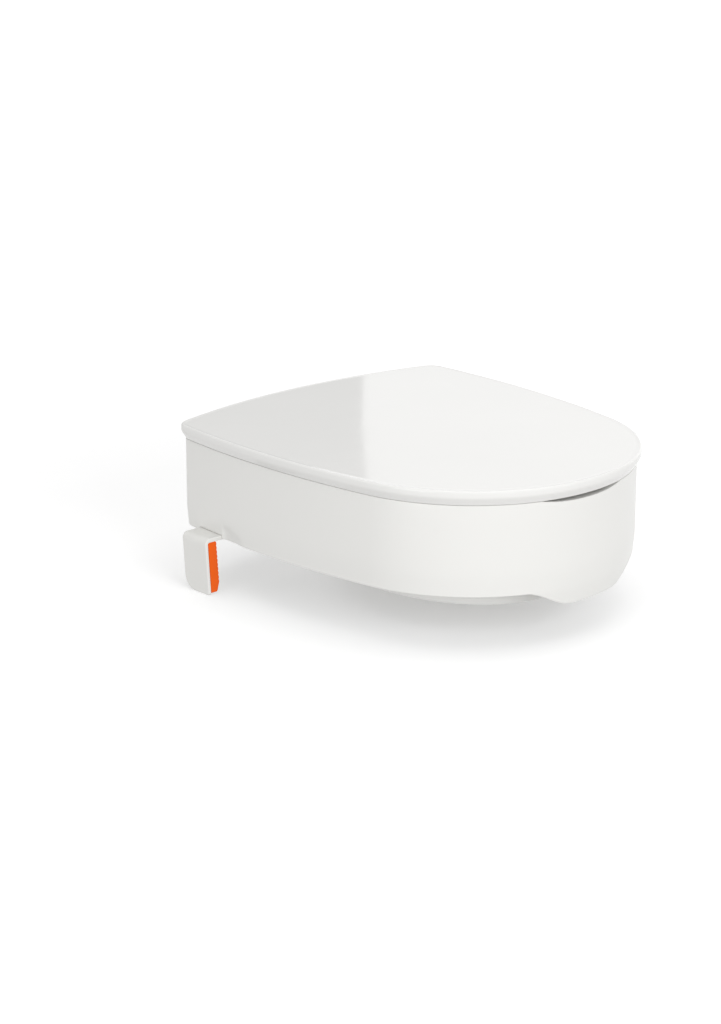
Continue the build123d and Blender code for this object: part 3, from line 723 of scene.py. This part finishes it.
# ---------------------------------------------------------------- studio
FLOOR_HALF = 14.0
FLOOR_GLOW, FAR_GLOW, FLOOR_NEAR, FLOOR_FAR = 0.22, 0.75, 0.6, 2.4
SKY = 0.585
MIDDLE = Vector((0, 0, 0.05))
# name, azimuth, elevation, distance, width, height, power
LAMPS = (("overhead", 0, 88, 2.4, 2.6, 2.6, 15.5),
         ("key", -10, 20, 2.6, 1.6, 1.2, 26),
         ("left_fill", -78, 5, 2.8, 1.2, 1.4, 17))
AWAY, ACROSS = Vector((0.662, 0.749, 0)), Vector((0.749, -0.662, 0))  # as seen from the camera's foot
BACKDROP_AWAY, BACKDROP_ACROSS, BACKDROP_UP = 4.9, 1.6, 0.95
BACKDROP_WIDTH, BACKDROP_HEIGHT, BACKDROP_POWER = 3.2, 1.9, 12.5


def pale_floor():
    """White floor that glows more further out, so its far part is as white as the rest."""
    signs = [(-1, -1), (1, -1), (1, 1), (-1, 1)]
    corners = [(x * FLOOR_HALF, y * FLOOR_HALF, cad_box[0].z) for x, y in signs]
    floor = mesh_object("floor", corners, [(0, 1, 2, 3)])
    mat, tree, shader = new_material("floor_white", (0.92, 0.92, 0.92), 0.6, specular=0.2)
    shader.inputs["Emission Color"].default_value = (1, 1, 1, 1)
    coords = tree.nodes.new("ShaderNodeTexCoord")
    reach = tree.nodes.new("ShaderNodeVectorMath")
    reach.operation = "LENGTH"
    tree.links.new(coords.outputs["Object"], reach.inputs[0])
    glow = ramp(tree, reach.outputs["Value"], FLOOR_GLOW, FAR_GLOW, FLOOR_NEAR, FLOOR_FAR)
    tree.links.new(glow, shader.inputs["Emission Strength"])
    paint(floor, mat)
    floor.visible_diffuse = False


def soft_room():
    """Even white surroundings."""
    world = bpy.data.worlds.new("studio")
    world.use_nodes = True
    background = world.node_tree.nodes["Background"]
    background.inputs["Color"].default_value = (1, 1, 1, 1)
    background.inputs["Strength"].default_value = SKY
    bpy.context.scene.world = world


def panel(name, place, facing, width, height, power):
    """Rectangular soft light, unseen by the camera."""
    data = bpy.data.lights.new(name, "AREA")
    data.shape = "RECTANGLE"
    data.size, data.size_y, data.energy = width, height, power
    lamp = link(bpy.data.objects.new(name, data))
    lamp.location = place
    lamp.rotation_euler = facing.to_track_quat("Z", "Y").to_euler()
    lamp.visible_camera = False
    return lamp


def lights():
    """Three soft lights round the seat, and a tall panel behind it."""
    for name, azimuth, elevation, distance, width, height, power in LAMPS:
        way = direction(azimuth, elevation)
        lamp = panel(name, MIDDLE + way * distance, way, width, height, power)
        lamp.visible_glossy = name != "key"  # no streak along the lid's rim
    # the panel's near edge shows as a line in the lid's gloss
    foot = Vector((camera.location.x, camera.location.y, 0))
    place = foot + AWAY * BACKDROP_AWAY + ACROSS * BACKDROP_ACROSS + Vector((0, 0, BACKDROP_UP))
    panel("backdrop", place, AWAY, BACKDROP_WIDTH, BACKDROP_HEIGHT, BACKDROP_POWER)


pale_floor()
soft_room()
lights()
bpy.context.scene.view_settings.view_transform = "Standard"
